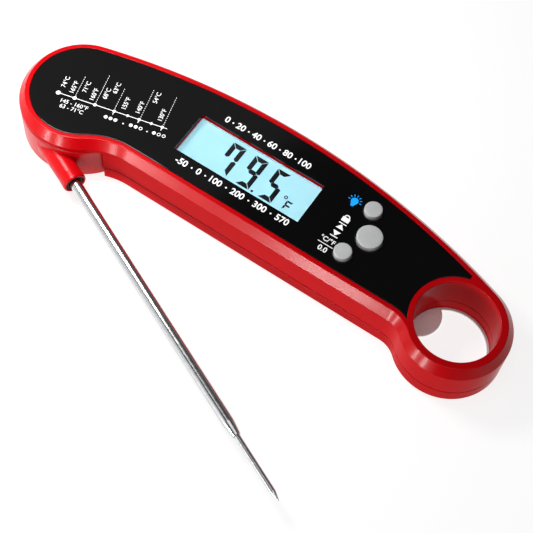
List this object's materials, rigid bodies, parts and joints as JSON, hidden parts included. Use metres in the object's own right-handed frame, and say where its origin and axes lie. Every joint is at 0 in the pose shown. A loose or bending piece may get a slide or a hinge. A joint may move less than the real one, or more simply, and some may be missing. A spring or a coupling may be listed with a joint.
{
  "type": "folding meat thermometer",
  "caption": "Pocket meat thermometer: a bevelled handle with display, buttons and a finger-hole ring with a bottle opener, and a steel probe that folds along its lower edge.",
  "frame": {"origin": "on the flat back of the handle, midway between the fold axis and the finger-hole axis in X and level with the fold axis in Y", "axes": "+X along the handle from the hinge to the finger-hole ring, +Y towards the bulging upper edge, +Z out of the display face"},
  "size_m": [0.1618, 0.0941, 0.0185],
  "materials": {
    "red_shell": "gloss red moulded plastic with a bevelled front edge",
    "red_arm": "gloss red moulded plastic",
    "label_black": "gloss black label panel",
    "window_clear": "clear polycarbonate",
    "lcd_face": "pale blue backlit display",
    "white_plastic": "matte white",
    "black_rubber": "matte black",
    "board_green": "green solder mask",
    "chip_black": "matte black",
    "reed_glass": "clear glass",
    "bright_nickel": "bright nickel plate",
    "opener_steel": "satin stainless steel",
    "magnet_grey": "nickel-plated magnet",
    "brass": "turned brass",
    "grey_button": "soft grey elastomer",
    "probe_steel": "polished stainless steel",
    "sensor_ceramic": "glazed bead",
    "lead_red": "enamelled wire"
  },
  "bodies": {
    "handle": {"front_shell": "red_shell", "back_shell": "red_shell", "label_panel": "label_black", "display_window": "window_clear", "lcd_glass": "lcd_face", "lcd_backlight": "white_plastic", "lcd_frame": "white_plastic", "shell_gasket": "black_rubber", "door_seal": "black_rubber", "lcd_connector": "black_rubber", "circuit_board": "board_green", "controller_chip": "chip_black", "tact_switch_1": "chip_black", "tact_switch_2": "chip_black", "tact_switch_3": "chip_black", "reed_sensor": "reed_glass", "coin_cell": "bright_nickel", "battery_contact_pos": "bright_nickel", "battery_contact_neg": "bright_nickel", "shell_screw_1": "bright_nickel", "shell_screw_2": "bright_nickel", "shell_screw_3": "bright_nickel", "shell_screw_4": "bright_nickel", "pivot_washer": "bright_nickel", "pivot_screw": "bright_nickel", "opener_plate": "opener_steel", "opener_rivet_1": "opener_steel", "opener_rivet_2": "opener_steel", "back_magnet_1": "magnet_grey", "back_magnet_2": "magnet_grey", "pivot_bushing": "brass"},
    "probe_arm": {"arm_body": "red_arm", "hub_cover": "red_arm", "hub_seal": "black_rubber", "hub_magnet": "magnet_grey", "hub_cap": "red_arm", "probe_collar": "black_rubber", "probe_tube": "probe_steel", "probe_tip": "probe_steel", "sensor_bead": "sensor_ceramic", "sensor_lead": "lead_red"},
    "battery_door": {"battery_door": "red_shell"},
    "backlight_button": {"backlight_button": "grey_button"},
    "hold_button": {"hold_button": "grey_button"},
    "unit_button": {"unit_button": "grey_button"}
  },
  "joints": [
    {"name": "probe_fold", "type": "hinge", "parent": "handle", "child": "probe_arm", "pos_m": [-0.0636, 0, 0.007], "axis": [0, 0, 1], "range_deg": [-157.5, 19.2]},
    {"name": "battery_door_turn", "type": "hinge", "parent": "handle", "child": "battery_door", "pos_m": [-0.022, 0.008, 0.001], "axis": [0, 0, 1], "range_deg": [0, 60]},
    {"name": "backlight_button_press", "type": "slide", "parent": "handle", "child": "backlight_button", "axis": [0, 0, -1], "range_m": [0, 0.0007], "stiffness_N_per_m": 1200, "springref_m": -0.0002},
    {"name": "hold_button_press", "type": "slide", "parent": "handle", "child": "hold_button", "axis": [0, 0, -1], "range_m": [0, 0.0007], "stiffness_N_per_m": 1200, "springref_m": -0.0002},
    {"name": "unit_button_press", "type": "slide", "parent": "handle", "child": "unit_button", "axis": [0, 0, -1], "range_m": [0, 0.0007], "stiffness_N_per_m": 1200, "springref_m": -0.0002}
  ]
}
